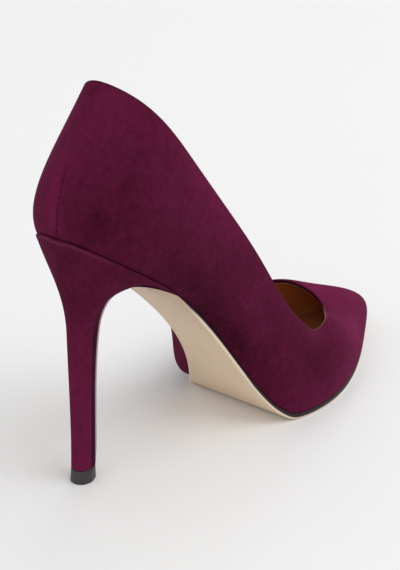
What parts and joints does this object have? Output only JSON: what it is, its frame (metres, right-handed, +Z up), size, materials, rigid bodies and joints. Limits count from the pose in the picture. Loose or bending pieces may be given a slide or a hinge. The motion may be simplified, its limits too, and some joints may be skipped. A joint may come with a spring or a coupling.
{
  "type": "stiletto pump",
  "caption": "Pointed suede pump for the right foot with a tall thin covered heel, closed outer side and cut-away inner side.",
  "frame": {"origin": "middle of the shoe's length and width, on the floor", "axes": "+X from heel to toe, +Y towards the inner side of the right foot, +Z up"},
  "size_m": [0.2138, 0.0734, 0.1606],
  "materials": {
    "suede": "suede nap, dark plum",
    "sock_leather": "smooth tan leather",
    "sole_leather": "smooth beige leather with dark inked edge",
    "heel_suede": "suede cover, dark plum",
    "top_piece_rubber": "black, satin"
  },
  "bodies": {
    "root": {"upper": "suede", "insole": "sock_leather", "outsole": "sole_leather", "heel": "heel_suede", "top_piece": "top_piece_rubber"}
  },
  "joints": []
}
